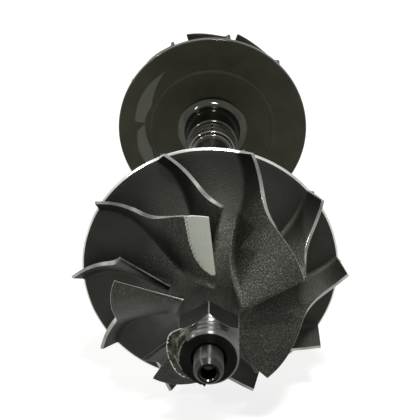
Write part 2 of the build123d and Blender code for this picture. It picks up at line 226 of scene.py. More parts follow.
def bezier(curve: Curve, u: np.ndarray) -> np.ndarray:
    """Points on a cubic curve.

    Args:
        curve: the four control points.
        u: places along the curve, from 0 to 1.

    Returns:
        One row for each value of u.
    """
    weights = np.stack([(1 - u) ** 3, 3 * u * (1 - u) ** 2, 3 * u**2 * (1 - u), u**3], axis=-1)
    return weights @ np.array(curve)


def meridian(curve: Curve, count: int) -> list[Point]:
    """Points (radius, y) at even steps along a curve of (radius, y, degrees)."""
    return [(float(radius), float(y)) for radius, y, _ in bezier(curve, np.linspace(0, 1, count))]


def whole_turn(count: int) -> np.ndarray:
    """Angles that divide a whole turn evenly, in radians."""
    return np.linspace(0, 2 * math.pi, count, endpoint=False)


def lathe(outline: list[Point], segments: int) -> tuple[np.ndarray, list[Face]]:
    """Turned shell about the Y axis.

    Args:
        outline: (radius, y) points; a point on the axis closes the shell there, and an
            outline with none is taken as a closed loop.
        segments: divisions round the axis.

    Returns:
        Vertices and faces.
    """
    turn = whole_turn(segments)
    rings = [ring(radius, y, turn) for radius, y in outline if radius > ON_AXIS]
    poles = [y for radius, y in outline if radius <= ON_AXIS]
    points = np.concatenate(rings)
    faces = ring_faces(len(rings), segments, close_rows=not poles)
    for k, y in enumerate(poles):
        centre = len(points)
        points = np.concatenate([points, [[0.0, y, 0.0]]])
        start = 0 if k == 0 and outline[0][0] <= ON_AXIS else (len(rings) - 1) * segments
        for j in range(segments):
            pair = (start + j, start + (j + 1) % segments)
            faces.append((centre, *pair) if start else (centre, *reversed(pair)))
    return points, faces


def spun(points: np.ndarray, degrees: float) -> np.ndarray:
    """Points turned about the Y axis, from +X towards +Z.

    Args:
        points: vertices, shape (n, 3).
        degrees: angle of the turn.

    Returns:
        The turned vertices.
    """
    cos, sin = math.cos(math.radians(degrees)), math.sin(math.radians(degrees))
    x, y, z = points.T
    return np.stack([x * cos - z * sin, y, x * sin + z * cos], axis=1)


def seat(piece: bpy.types.Object, body: str) -> None:
    """Tells the frame which body a piece rides on.

    Args:
        piece: the new piece.
        body: name of the body.
    """
    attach(piece, body)
    log.info("%s rides on %s", piece.name, body)


@dataclass
class Nodes:
    """Short names for the node calls that the finishes and the studio share.

    Attributes:
        owner: the material or the world that the nodes belong to.
    """

    owner: bpy.types.Material | bpy.types.World

    @classmethod
    def start(cls, name: str) -> Nodes:
        """Material of that name with its nodes ready."""
        material = bpy.data.materials.new(name)
        material.use_nodes = True
        return cls(material)

    @property
    def shader(self) -> bpy.types.Node:
        """The material's main shader."""
        return self.owner.node_tree.nodes["Principled BSDF"]

    def node(
        self, kind: str, inputs: dict[str | int, Input] | None = None, **values: object
    ) -> bpy.types.Node:
        """Adds a node, sets its properties and feeds its inputs, which go by name or number."""
        made = self.owner.node_tree.nodes.new(kind)
        for key, value in values.items():
            setattr(made, key, value)
        for key, value in (inputs or {}).items():
            self.feed(made.inputs[key], value)
        return made

    def feed(self, place: Socket, value: Input) -> None:
        """Joins a socket to an input, or sets the input's own value."""
        if isinstance(value, Socket):
            self.owner.node_tree.links.new(value, place)
        else:
            place.default_value = value

    def surface(self, inputs: dict[str, Input]) -> bpy.types.Material:
        """Feeds the main shader's inputs and returns the material."""
        for name, value in inputs.items():
            self.feed(self.shader.inputs[name], value)
        return self.owner

    def place(self) -> Socket:
        """The frame's own coordinates, in metres."""
        return self.node("ShaderNodeTexCoord").outputs["Object"]

    def axes(self, source: Socket | None = None) -> bpy.types.bpy_prop_collection:
        """Parts X, Y and Z of a vector, or of the frame's own coordinates where none is given."""
        return self.node("ShaderNodeSeparateXYZ", {"Vector": source or self.place()}).outputs

    def join(self, **parts: Socket) -> Socket:
        """Vector made of the given ones of its parts X, Y and Z; the others are 0."""
        return self.node("ShaderNodeCombineXYZ", parts).outputs["Vector"]

    def math(
        self, operation: str, first: Socket | float, second: Socket | float = 0.0, clamp: bool = False
    ) -> Socket:
        """Result of a sum on two sockets or numbers, kept between 0 and 1 if clamp is set."""
        inputs = {0: first, 1: second}
        return self.node("ShaderNodeMath", inputs, operation=operation, use_clamp=clamp).outputs[0]

    def noise(self, scale: float, detail: float, source: Socket | None = None) -> Socket:
        """Soft noise from 0 to 1; scale is lumps per metre."""
        inputs = {"Vector": source or self.place(), "Scale": scale, "Detail": detail}
        return self.node("ShaderNodeTexNoise", inputs).outputs["Fac"]

    def ramp(self, source: Socket, stops: tuple[tuple[float, Triple], ...]) -> Socket:
        """Colour read from a ramp."""
        made = self.node("ShaderNodeValToRGB", {"Fac": source})
        steps = made.color_ramp.elements
        while len(steps) < len(stops):
            steps.new(0.5)
        for step, (at, colour) in zip(steps, stops):
            step.position = at
            step.color = (*colour, 1.0)
        return made.outputs["Color"]

    def blend(self, amount: Socket, first: Socket, second: Triple) -> Socket:
        """Colour that goes from the first to the second as the amount goes from 0 to 1."""
        inputs = {0: amount, 6: first, 7: (*second, 1.0)}
        return self.node("ShaderNodeMix", inputs, data_type="RGBA").outputs[2]

    def spread(
        self, source: Socket, low: float, high: float, span: Point = (0.0, 1.0), curve: str = "LINEAR"
    ) -> Socket:
        """Value that goes from low to high while the source crosses the span."""
        inputs = {"Value": source, "From Min": span[0], "From Max": span[1], "To Min": low, "To Max": high}
        return self.node("ShaderNodeMapRange", inputs, interpolation_type=curve).outputs["Result"]

    def bump(self, height: Socket, depth: float, before: Socket | None = None) -> Socket:
        """Bump normal; depth is in metres, and before is an earlier bump."""
        inputs = {"Distance": depth, "Height": height}
        if before is not None:
            inputs["Normal"] = before
        return self.node("ShaderNodeBump", inputs).outputs["Normal"]

    def radius(self) -> Socket:
        """Distance from the shaft axis, in metres."""
        axes = self.axes()
        squares = [self.math("MULTIPLY", axes[name], axes[name]) for name in "XZ"]
        return self.math("SQRT", self.math("ADD", *squares))

    def across_lines(self) -> Socket:
        """Direction in the surface across a lathe's lines, which run round the shaft axis."""
        axes = self.axes()
        along = self.join(X=axes["Z"], Z=self.math("MULTIPLY", axes["X"], -1.0))
        normal = self.node("ShaderNodeNewGeometry").outputs["Normal"]
        across = self.node("ShaderNodeVectorMath", {0: along, 1: normal}, operation="CROSS_PRODUCT")
        return across.outputs["Vector"]

    def turning_lines(self, pitch: float) -> Socket:
        """Height from 0 to 1 of a lathe's fine lines, on faces and on cylinders alike.

        Args:
            pitch: mean distance between lines, in metres.

        Returns:
            The socket of the height.
        """
        place = self.join(X=self.radius(), Y=self.axes()["Y"])
        return self.noise(1.0 / pitch, 2.0, place)

    def seen_directly(self) -> Socket:
        """1 for rays from the camera and rays mirrored or let through by a surface, 0 for others."""
        rays = self.node("ShaderNodeLightPath").outputs
        seen = rays["Is Camera Ray"]
        for kind in ("Is Glossy Ray", "Is Transmission Ray"):
            seen = self.math("MAXIMUM", seen, rays[kind])
        return seen


@dataclass(frozen=True)
class CastFinish(Finish):
    """Bare casting: fine grain, soft dents and uneven tone, and where sandy_y is set, bright sandy specks
    that are partly real grain and partly painted glints.

    Attributes:
        name: name of the material.
        dark: colour of the hollows.
        light: colour of the high spots.
        rough: lowest and highest roughness.
        grain: width of the sand grain, in metres.
        grain_depth: depth of the grain, in metres.
        metallic: how metallic the skin is.
        milled: colour of a milled patch, where the casting has one.
        sandy_y: y in front of which the skin is sandy, with bright specks that are partly painted glints,
            in metres, where any of it is.
    """

    name: str
    dark: Triple
    light: Triple
    rough: Point
    grain: float
    grain_depth: float
    metallic: float = 0.85
    milled: Triple | None = None
    sandy_y: float | None = None

    # Noises, as lumps per metre and detail.
    TONE = (90.0, 4.0)
    DENTS = (160.0, 2.0)
    SHEEN = (400.0, 3.0)
    SAND = (2900.0, 2.0)

    DENT_DEPTH = 3e-5
    PATCH_DEPTH = 1.2e-4
    PATCH_METALLIC = 0.3
    SAND_FADE = 3.0 * MM
    SAND_GLINT_GAIN = 3.0
    CUTTER_FEED = 1.05 * MM
    CUTTER_SHADE = 0.25

    def make(self) -> bpy.types.Material:
        """The material."""
        n = Nodes.start(self.name)
        colour = n.ramp(n.noise(*self.TONE), ((0.3, self.dark), (0.7, self.light)))
        dents = n.bump(n.noise(*self.DENTS), self.DENT_DEPTH)
        normal = n.bump(n.noise(1.0 / self.grain, 6.0), self.grain_depth, dents)
        metallic: Input = self.metallic
        # Sandy skin: bright specks in the colour, partly real grain and partly painted glints.
        if self.sandy_y is not None:
            glinting_grains = tuple(self.SAND_GLINT_GAIN * part for part in self.light)
            colour = n.blend(self.sand_glints(n, self.sandy_y), colour, glinting_grains)
        if self.milled is not None:
            patch = self.patch(n)
            marks = tuple(self.CUTTER_SHADE * part for part in self.milled)
            colour = n.blend(self.cutter_marks(n), n.blend(patch, colour, self.milled), marks)
            normal = n.bump(n.math("MULTIPLY", patch, -1.0), self.PATCH_DEPTH, normal)
            metallic = n.spread(patch, self.metallic, self.PATCH_METALLIC)
        rough = n.spread(n.noise(*self.SHEEN), *self.rough)
        return n.surface({"Base Color": colour, "Metallic": metallic, "Roughness": rough, "Normal": normal})

    def sand_glints(self, n: Nodes, start: float) -> Socket:
        """1 on the bright specks of the sandy skin in front of the start, 0 between them; they are partly
        real grain and partly painted glints.
        """
        past = n.math("SUBTRACT", n.axes()["Y"], start)
        front = n.math("MULTIPLY", past, -1.0 / self.SAND_FADE, clamp=True)
        glinting_grains = n.math("MULTIPLY", n.math("SUBTRACT", n.noise(*self.SAND), 0.5), 6.0, clamp=True)
        return n.math("MULTIPLY", front, glinting_grains)

    def cutter(self, n: Nodes) -> tuple[Socket, Socket]:
        """How far a point lies inside the milled patch, in millimetres, and the cutter's wave."""
        depth = n.node("ShaderNodeAttribute", attribute_name="milled").outputs["Fac"]
        wave = n.math("SINE", n.math("MULTIPLY", n.axes()["Z"], 2 * math.pi / self.CUTTER_FEED))
        return depth, wave

    def patch(self, n: Nodes) -> Socket:
        """1 inside the milled patch and 0 outside, with the cutter's scallops along its edge."""
        depth, wave = self.cutter(n)
        uneven = n.math("MULTIPLY", n.noise(700.0, 2.0), 0.3)
        ragged = n.math("ADD", n.math("MULTIPLY", wave, 0.1), uneven)
        return n.math("MULTIPLY", n.math("ADD", depth, ragged), 6.0, clamp=True)

    def cutter_marks(self, n: Nodes) -> Socket:
        """1 on the short marks that the cutter left just inside the patch's edge, 0 elsewhere."""
        depth, wave = self.cutter(n)
        across = n.math("MULTIPLY", n.math("ABSOLUTE", n.math("SUBTRACT", depth, 0.5)), -5.0)
        broken = n.math("SUBTRACT", n.noise(900.0, 2.0), 0.4)
        return n.math("ADD", n.math("ADD", across, n.math("MULTIPLY", wave, 1.5)), broken, clamp=True)


@dataclass(frozen=True)
class TurnedFinish(Finish):
    """Metal turned or ground on a lathe, with lines round the shaft axis.

    Attributes:
        name: name of the material.
        dark: colour of the duller patches.
        light: colour of the cleaner patches.
        roughness: middle roughness.
        pitch: distance between tool lines, in metres.
        depth: depth of the tool lines, in metres.
        stretch: how far highlights are drawn out across the tool lines, from 0 to 1.
        metallic: how metallic the surface is.
    """

    name: str
    dark: Triple
    light: Triple
    roughness: float
    pitch: float
    depth: float
    stretch: float = 0.7
    metallic: float = 1.0

    # Noises, as lumps per metre and detail.
    TONE = (140.0, 5.0)
    SHEEN = (500.0, 3.0)

    def make(self) -> bpy.types.Material:
        """The material."""
        n = Nodes.start(self.name)
        colour = n.ramp(n.noise(*self.TONE), ((0.35, self.dark), (0.65, self.light)))
        wear = n.spread(n.noise(*self.SHEEN), 0.75 * self.roughness, 1.25 * self.roughness)
        return n.surface({
            "Base Color": colour,
            "Metallic": self.metallic,
            "Roughness": wear,
            "Normal": n.bump(n.turning_lines(self.pitch), self.depth),
            "Anisotropic": self.stretch,
            "Tangent": n.across_lines(),
        })


@dataclass(frozen=True)
class DiscPaintedCrescentAndShadeFinish(Finish):
    """Turned disc face with a painted reflection, a lighter crescent near the rim over a shallow bumped
    hollow, and a painted shade line at the foot of the disc's step.

    Attributes:
        disc: finish of the untouched face.
        ground: lighter colour painted inside the crescent as a reflection.
        outer: (degrees from -X towards +Z, radius in millimetres) along the painted crescent's outer edge.
        inner: the same along its inner edge.
        line: radius of the painted shade line at the foot of the disc's step, in millimetres.
    """

    disc: TurnedFinish
    ground: Triple
    outer: tuple[Point, ...]
    inner: tuple[Point, ...]
    line: float = 20.4

    FIRST_DEGREE = -60.0
    DEGREES = 180.0
    WIDEST = 40.0
    CRESCENT_HOLLOW_DEPTH = 1.0e-4
    SHADE_LINE_STRENGTH = 0.7
    SHADE_LINE_COLOUR = (0.004, 0.004, 0.003)

    def edge(self, n: Nodes, turn: Socket, points: tuple[Point, ...]) -> Socket:
        """Radius of one edge of the painted crescent in millimetres, for a turn in degrees."""
        curve = n.node("ShaderNodeFloatCurve")
        line = curve.mapping.curves[0]
        places = [((at - self.FIRST_DEGREE) / self.DEGREES, radius / self.WIDEST) for at, radius in points]
        while len(line.points) < len(places):
            line.points.new(0.5, 0.5)
        for point, (x, y) in zip(line.points, places):
            point.location = (x, y)
            point.handle_type = "VECTOR"
        curve.mapping.update()
        part = n.math("DIVIDE", n.math("ADD", turn, -self.FIRST_DEGREE), self.DEGREES)
        n.feed(curve.inputs["Value"], part)
        return n.math("MULTIPLY", curve.outputs[0], self.WIDEST)

    def make(self) -> bpy.types.Material:
        """The material."""
        n = Nodes(self.disc.make())
        axes = n.axes()
        turn = n.math("ARCTAN2", axes["Z"], n.math("MULTIPLY", axes["X"], -1.0))
        turn = n.math("MULTIPLY", turn, 180.0 / math.pi)
        radius = n.math("DIVIDE", n.radius(), MM)
        # Painted reflection: a lighter crescent near the rim, also bumped in as a shallow hollow.
        inside = n.math(
            "MINIMUM",
            n.math("SUBTRACT", self.edge(n, turn, self.outer), radius),
            n.math("SUBTRACT", radius, self.edge(n, turn, self.inner)),
        )
        crescent_mask = n.math("MULTIPLY", inside, 1.6, clamp=True)
        colour = n.shader.inputs["Base Color"].links[0].from_socket
        normal = n.shader.inputs["Normal"].links[0].from_socket
        # Painted shade: a dark line at the foot of the disc's step.
        from_shade_line = n.math("ABSOLUTE", n.math("SUBTRACT", radius, self.line))
        line = n.math("SUBTRACT", 1.0, n.math("MULTIPLY", from_shade_line, 4.0), clamp=True)
        with_painted_crescent = n.blend(crescent_mask, colour, self.ground)
        with_shade_line = n.blend(n.math("MULTIPLY", line, self.SHADE_LINE_STRENGTH), with_painted_crescent, self.SHADE_LINE_COLOUR)
        hollow = n.bump(n.math("MULTIPLY", crescent_mask, -1.0), self.CRESCENT_HOLLOW_DEPTH, normal)
        return n.surface({"Base Color": with_shade_line, "Normal": hollow})


@dataclass(frozen=True)
class ScoredFinish(Finish):
    """Rough face left by a hand grinder on the lock nut: scored, dirty and burred.

    Attributes:
        name: name of the material.
        dirt: colours from the dirty hollows to the clean high spots.
    """

    name: str = "ground_for_balance"
    dirt: tuple[tuple[float, Triple], ...] = (
        (0.40, (0.010, 0.012, 0.006)),
        (0.56, (0.045, 0.048, 0.034)),
        (0.72, (0.24, 0.24, 0.21)),
    )

    def make(self) -> bpy.types.Material:
        """The material."""
        n = Nodes.start(self.name)
        stretched = {"Vector": n.place(), "Rotation": (0.4, 0.0, 0.7), "Scale": (1.0, 6.0, 1.6)}
        score = n.noise(900.0, 5.0, n.node("ShaderNodeMapping", stretched).outputs["Vector"])
        dirt = n.noise(420.0, 4.0)
        return n.surface({
            "Base Color": n.ramp(dirt, self.dirt),
            "Metallic": 0.9,
            "Roughness": n.spread(score, 0.25, 0.6),
            "Normal": n.bump(score, 2.5e-4, n.bump(dirt, 2e-4)),
        })


@dataclass
class Blade:
    """One blade between a root edge on the hub and a tip edge on the shroud line.

    Attributes:
        root: control points (radius, y, degrees) of the root edge, inlet end first.
        tip: the same for the tip edge.
        first: where along the edges the blade starts.
        root_thickness: thickness at the hub.
        tip_thickness: (part of the blade's length, thickness) pairs along the tip.
        fillets: root fillet radius at the blade's two ends.
        sink: how deep the blade goes into the hub at its two ends.
        nose: length of the rounded end for each unit of half thickness, at the two ends.
        patch: milled patch behind the inlet edge, on the face that looks towards -Y, as
            (part of the height, where it starts, where it ends) with both places measured
            from the inlet edge; empty where the blade has none.
        worn: whether the inlet edge is worn bright.
    """

    root: Curve
    tip: Curve
    first: float
    root_thickness: float
    tip_thickness: tuple[Point, ...]
    fillets: Point
    sink: Point
    nose: Point
    patch: Curve = ()
    worn: bool = False

    EDGE_BREAK = 0.07
    STATIONS = 64
    END_STATIONS = np.array([0.0006, 0.002, 0.0045, 0.008, 0.0125])
    FILLET_STEPS = (0.0, 0.06, 0.16, 0.3, 0.5, 0.75, 1.0)
    PLAIN_ROWS = 15
    PATCH_ROWS = 45
    STEP = 1e-4

    def middle(self, u: np.ndarray, v: np.ndarray) -> np.ndarray:
        """Points of the blade's middle surface at matching u and v."""
        ends = []
        for curve in (self.root, self.tip):
            radius, y, angle = np.moveaxis(bezier(curve, u), -1, 0)
            turn = np.radians(angle)
            ends.append(np.stack([radius * np.cos(turn), y, radius * np.sin(turn)], axis=-1))
        return ends[0] * (1 - v[..., None]) + ends[1] * v[..., None]

    def station_places(self) -> np.ndarray:
        """Values of u, close together at both ends where the blade is rounded."""
        even = np.linspace(0, 1, self.STATIONS)
        places = np.unique(np.concatenate([even, self.END_STATIONS, 1 - self.END_STATIONS]))
        return self.first + (1 - self.first) * places

    def row_places(self, height: np.ndarray, fillet: np.ndarray, sink: np.ndarray) -> list[np.ndarray]:
        """Values of v of each row of vertices, from inside the hub to the tip."""
        top = 1 - self.EDGE_BREAK / height
        upper = np.linspace(0, 1, self.PATCH_ROWS if self.patch else self.PLAIN_ROWS)[1:-1]
        rows = [-sink / height]
        rows += [step * fillet / height for step in self.FILLET_STEPS]
        rows += [fillet / height + (top - fillet / height) * step for step in upper]
        return rows + [top, np.ones_like(height)]

    def inside_patch(self, middle: np.ndarray, v: np.ndarray) -> np.ndarray:
        """How far points of one row lie inside the milled patch, in millimetres."""
        if not self.patch:
            return np.full(len(v), OUTSIDE)
        steps = np.linalg.norm(np.diff(middle, axis=0), axis=1)
        from_inlet = np.concatenate([[0], np.cumsum(steps)])
        heights, near, far = zip(*self.patch)
        return np.minimum(np.interp(v, heights, far) - from_inlet, from_inlet - np.interp(v, heights, near))

    def ends_rounded(self, half: np.ndarray, along: np.ndarray) -> np.ndarray:
        """Half thickness once the inlet end is rounded and the exit's edges are broken."""
        reach = zip((along, along[-1] - along), self.nose)
        inlet, outlet = [np.clip(distance / (half * nose), 0, 1) for distance, nose in reach]
        half = half * np.sqrt(1 - (1 - inlet) ** 2) - self.EDGE_BREAK * (1 - outlet)
        return np.maximum(half, 0.0)

    def along_shroud(self, across: np.ndarray, middle: np.ndarray, u: np.ndarray) -> np.ndarray:
        """Turns the blade's thickness direction into the surface that the tips are turned to.

        Args:
            across: unit vectors square to the blade at its tip.
            middle: points of the blade's middle surface at its tip.
            u: their places along the tip edge.

        Returns:
            Vectors in that surface, long enough to keep the blade's thickness.
        """
        slope = np.gradient(bezier(self.tip, u)[:, :2], u, axis=0)
        outward = middle * [1, 0, 1] / np.hypot(middle[:, 0], middle[:, 2])[:, None]
        normal = outward * slope[:, 1:] - np.array([[0.0, 1.0, 0.0]]) * slope[:, :1]
        normal /= np.linalg.norm(normal, axis=1)[:, None]
        flat = across - (across * normal).sum(axis=1)[:, None] * normal
        return flat / (flat**2).sum(axis=1)[:, None]

    def set_off_hub(self, points: np.ndarray, height: np.ndarray, share: np.ndarray) -> np.ndarray:
        """Moves points square to the hub, so that the root fillets run out flush with it.

        Args:
            points: vertices near the root.
            height: height over the hub that each should have.
            share: how much of the way to that height each one moves.

        Returns:
            The moved vertices.
        """
        hub = bezier(self.root, np.linspace(0, 1, 160))[:, :2]
        radius = np.hypot(points[:, 0], points[:, 2])
        place = np.stack([radius, points[:, 1]], axis=1)
        nearest = np.argmin(((place[:, None] - hub[None]) ** 2).sum(axis=-1), axis=1)
        slope = np.gradient(hub, axis=0)[nearest]
        normal = np.stack([slope[:, 1], -slope[:, 0]], axis=1) / np.linalg.norm(slope, axis=1)[:, None]
        missing = height - ((place - hub[nearest]) * normal).sum(axis=1)
        place = place + normal * (missing * share)[:, None]
        turned = points * (place[:, 0] / radius)[:, None]
        turned[:, 1] = place[:, 1]
        return turned

    def skin(self, rows: int, count: int) -> tuple[list[Face], list[Surface]]:
        """Faces of the shell and what each of them is.

        Args:
            rows: loops of vertices between the root and the tip.
            count: vertices along each side of a loop; both sides share the first.

        Returns:
            The faces and their surfaces.
        """
        loop = 2 * count - 1
        faces = ring_faces(rows, loop, close_rows=False)
        marks = []
        for i in range(rows - 1):
            for j in range(loop):
                turned = j == count - 1 or i == rows - 2
                worn = self.worn and j in (0, loop - 1)
                marks.append(Surface.MACHINED if turned else Surface.WORN if worn else Surface.CAST)
        for row, at_root in ((0, True), (rows - 1, False)):
            base = row * loop
            for j in range(count - 1):
                a, b = base + j, base + j + 1
                c, d = base + (loop - j - 1) % loop, base + (loop - j) % loop
                face = (a, b, c) if j == 0 else (a, b, c, d)
                faces.append(face if at_root else tuple(reversed(face)))
                marks.append(Surface.CAST if at_root else Surface.MACHINED)
        return faces, marks

    def shell(self) -> tuple[np.ndarray, list[Face], list[Surface], np.ndarray]:
        """Closed shell of the blade.

        Returns:
            Vertices, faces, what each face is and each vertex's place in the milled patch.
        """
        u = self.station_places()
        part = (u - self.first) / (1 - self.first)
        ones = np.ones_like(u)
        height = np.linalg.norm(self.middle(u, ones) - self.middle(u, 0 * ones), axis=1)
        chord = np.linalg.norm(np.diff(self.middle(u, 0.5 * ones), axis=0), axis=1)
        along = np.concatenate([[0], np.cumsum(chord)])
        fillet, sink = [ends[0] + (ends[1] - ends[0]) * part for ends in (self.fillets, self.sink)]
        tip = np.interp(part, *zip(*self.tip_thickness))
        rows = self.row_places(height, fillet, sink)
        loops, patches = [], []
        for k, v in enumerate(rows):
            above = np.clip(v * height, 0, None)
            short = np.clip(1 - above / fillet, 0, 1)
            half = 0.5 * (self.root_thickness + (tip - self.root_thickness) * np.clip(v, 0, 1))
            half = half + fillet * (1 - np.sqrt(1 - short**2 * 0.999))
            if k == len(rows) - 1:
                half = half - self.EDGE_BREAK
            half = self.ends_rounded(half, along)
            mid = self.middle(u, v)
            upward = self.middle(u, v + self.STEP) - mid
            onward = self.middle(u + self.STEP, v) - self.middle(u - self.STEP, v)
            across = np.cross(upward, onward)
            across /= np.linalg.norm(across, axis=1)[:, None]
            inside = self.inside_patch(mid, v)
            on_left = np.where(across[:, 1] < 0, inside, OUTSIDE)
            on_right = np.where(across[:, 1] < 0, OUTSIDE, inside)
            if k >= len(rows) - 2:
                across = self.along_shroud(across, mid, u)
            left = self.set_off_hub(mid + across * half[:, None], v * height, short)
            right = self.set_off_hub(mid - across * half[:, None], v * height, short)
            loops.append(np.concatenate([left, right[:0:-1]]))
            patches.append(np.concatenate([on_left, on_right[:0:-1]]))
        faces, marks = self.skin(len(rows), len(u))
        return np.concatenate(loops), faces, marks, np.concatenate(patches)


@dataclass
class CompressorWheel:
    """Cast wheel with full blades and splitters between them.

    Attributes:
        back_y: y of the face that meets the oil flinger.
        back_hub: length of the hub behind the rim plane.
        back_hub_radius: radius where the disc's back meets that hub.
        rim_radius: radius of the back disc.
        rim_thickness: thickness of the disc at its rim.
        rim_chamfer: (radial, axial) size of the chamfer on the rim's front edge.
        nose_length: length of the hub in front of the rim plane.
        nose_radius: radius of the hub's end under the nut.
        bore: radius of the bore.
        sets: number of full blades, and of splitters.
        phase: angle of the first full blade's exit.
        splitter_start: where along the edges the splitters start.
        tip: control points of the blades' tip edge, from the rim plane.
        root: control points of the root edge.
        balance_patch: outline of the patch milled off the first blade to balance the wheel.
    """

    back_y: float
    back_hub: float = 6.5
    back_hub_radius: float = 9.6
    rim_radius: float = 36.0
    rim_thickness: float = 0.9
    rim_chamfer: Point = (0.45, 0.35)
    nose_length: float = 38.5
    nose_radius: float = 7.8
    bore: float = 3.8
    sets: int = 5
    phase: float = 144.8
    splitter_start: float = 0.31
    tip: Curve = ((26.5, -25.1, -54.5), (27.3, -18.9, -11.1), (24.0, -8.1, -18.9), (38.4, -5.9, 0.0))
    root: Curve = ((8.1, -28.8, -70.3), (9.2, -21.1, 15.2), (17.0, -5.0, -19.3), (36.0, -0.4, 4.0))
    balance_patch: Curve = (
        (0.0, 1.6, -9.0), (0.155, 1.5, 0.5), (0.17, 0.7, 1.6), (0.19, 0.0, 2.8), (0.22, -1.0, 4.0),
        (0.34, -1.0, 5.8), (0.56, -1.0, 6.7), (0.81, -1.0, 6.9), (1.0, -1.0, 7.0),
    )

    SEGMENTS = 240
    RIM_ROWS = 15
    FULL_TIP = ((0.2, 0.5), (0.34, 1.1), (0.6, 1.0), (1.0, 0.75))
    SPLITTER_TIP = ((0.25, 1.3), (0.6, 0.9), (1.0, 0.7))
    FINISHES = {
        # Cast skin; its sandy specks in front of sandy_y are partly painted glints.
        Surface.CAST: CastFinish(
            "cast_aluminium", (0.0155, 0.0162, 0.0127), (0.0232, 0.024, 0.019), rough=(0.42, 0.56),
            grain=3.4e-4, grain_depth=1.1e-4, milled=(0.31, 0.33, 0.28), sandy_y=-0.029,
        ),
        Surface.MACHINED: TurnedFinish(
            "turned_blade_tips", (0.13, 0.13, 0.12), (0.36, 0.36, 0.34), 0.24, 9e-5, 4e-6, stretch=0.5
        ),
        Surface.WORN: TurnedFinish(
            "worn_blade_edge", (0.045, 0.045, 0.041), (0.12, 0.12, 0.11), 0.35, 2e-4, 4e-6, stretch=0.0
        ),
        # Rim: a brighter copy of the turned tip finish, partly its own machined shine and partly a painted
        # highlight.
        Surface.RIM: TurnedFinish("machined_rim_painted_highlight", (0.42, 0.42, 0.40), (0.64, 0.64, 0.61), 0.32, 9e-5, 4e-6),
        Surface.BACK: TurnedFinish(
            "turned_wheel_back", (0.17, 0.17, 0.16), (0.20, 0.20, 0.19), 0.34, 2.4e-4, 4e-6, stretch=0.6
        ),
    }

    @property
    def rim_y(self) -> float:
        """Y of the plane of the rim's front edge."""
        return self.back_y - self.back_hub

    def blade(self, first: float, patch: Curve) -> Blade:
        """A blade that starts at that part of the edges."""
        return Blade(
            self.root, self.tip, first,
            root_thickness=1.5, tip_thickness=self.FULL_TIP if first == 0 else self.SPLITTER_TIP,
            fillets=(1.2, 0.9), sink=(1.6, 0.35), nose=(1.6, 0.2), patch=patch, worn=True,
        )

    def front(self) -> list[Point]:
        """Outline of the hub from its nose to the rim."""
        hub = meridian(self.root, 56)
        nose = rounded([
            (self.bore, -self.nose_length),
            (self.nose_radius, -self.nose_length, 0.5),
            hub[0],
            hub[1],
        ])
        front, back = self.root[3][1], self.root[3][1] + self.rim_thickness
        rim = rounded([
            hub[-2],
            (self.rim_radius - self.rim_chamfer[0], front, 0.1),
            (self.rim_radius, front + self.rim_chamfer[1], 0.15),
            (self.rim_radius, back, 0.15),
            (self.rim_radius - 2.0, back + 0.25),
        ])
        return nose[:-1] + hub[1:-2] + rim[:-1]

    def back(self) -> list[Point]:
        """Outline of the disc's back from the rim to the bore."""
        start = self.root[3][1] + self.rim_thickness
        corner = (self.back_hub_radius, self.back_hub - 0.6)
        line = ((self.rim_radius, start, 0), (22.0, 2.2, 0), (13.0, 3.2, 0), (*corner, 0))
        face = [point for point in meridian(line, 36) if point[0] < self.rim_radius - 1.0]
        end = rounded([corner, (corner[0] - 0.4, self.back_hub, 0.2), (self.bore, self.back_hub)])
        return face + end[1:]

    def build(self) -> None:
        """Makes the wheel and dresses it."""
        maker = MeshMaker(origin_y=self.rim_y)
        front, back = self.front(), self.back()
        points, faces = lathe(front + back, self.SEGMENTS)
        bands = [Surface.CAST] * (len(front) - self.RIM_ROWS) + [Surface.RIM] * self.RIM_ROWS
        bands += [Surface.BACK] * (len(faces) // self.SEGMENTS - len(front))
        maker.add(points, faces, [band for band in bands for _ in range(self.SEGMENTS)])
        for first, offset in ((0.0, 0.0), (self.splitter_start, 180 / self.sets)):
            for k in range(self.sets):
                patch = self.balance_patch if (first, k) == (0.0, 0) else ()
                shell, blade_faces, blade_marks, milled = self.blade(first, patch).shell()
                turned = spun(shell, self.phase + offset + k * 360 / self.sets)
                maker.add(turned, blade_faces, blade_marks, milled)
        wheel = maker.build("compressor_casting", sharp_degrees=35, finishes=self.FINISHES)
        seat(wheel, "rotor")
        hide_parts("compressor_wheel")


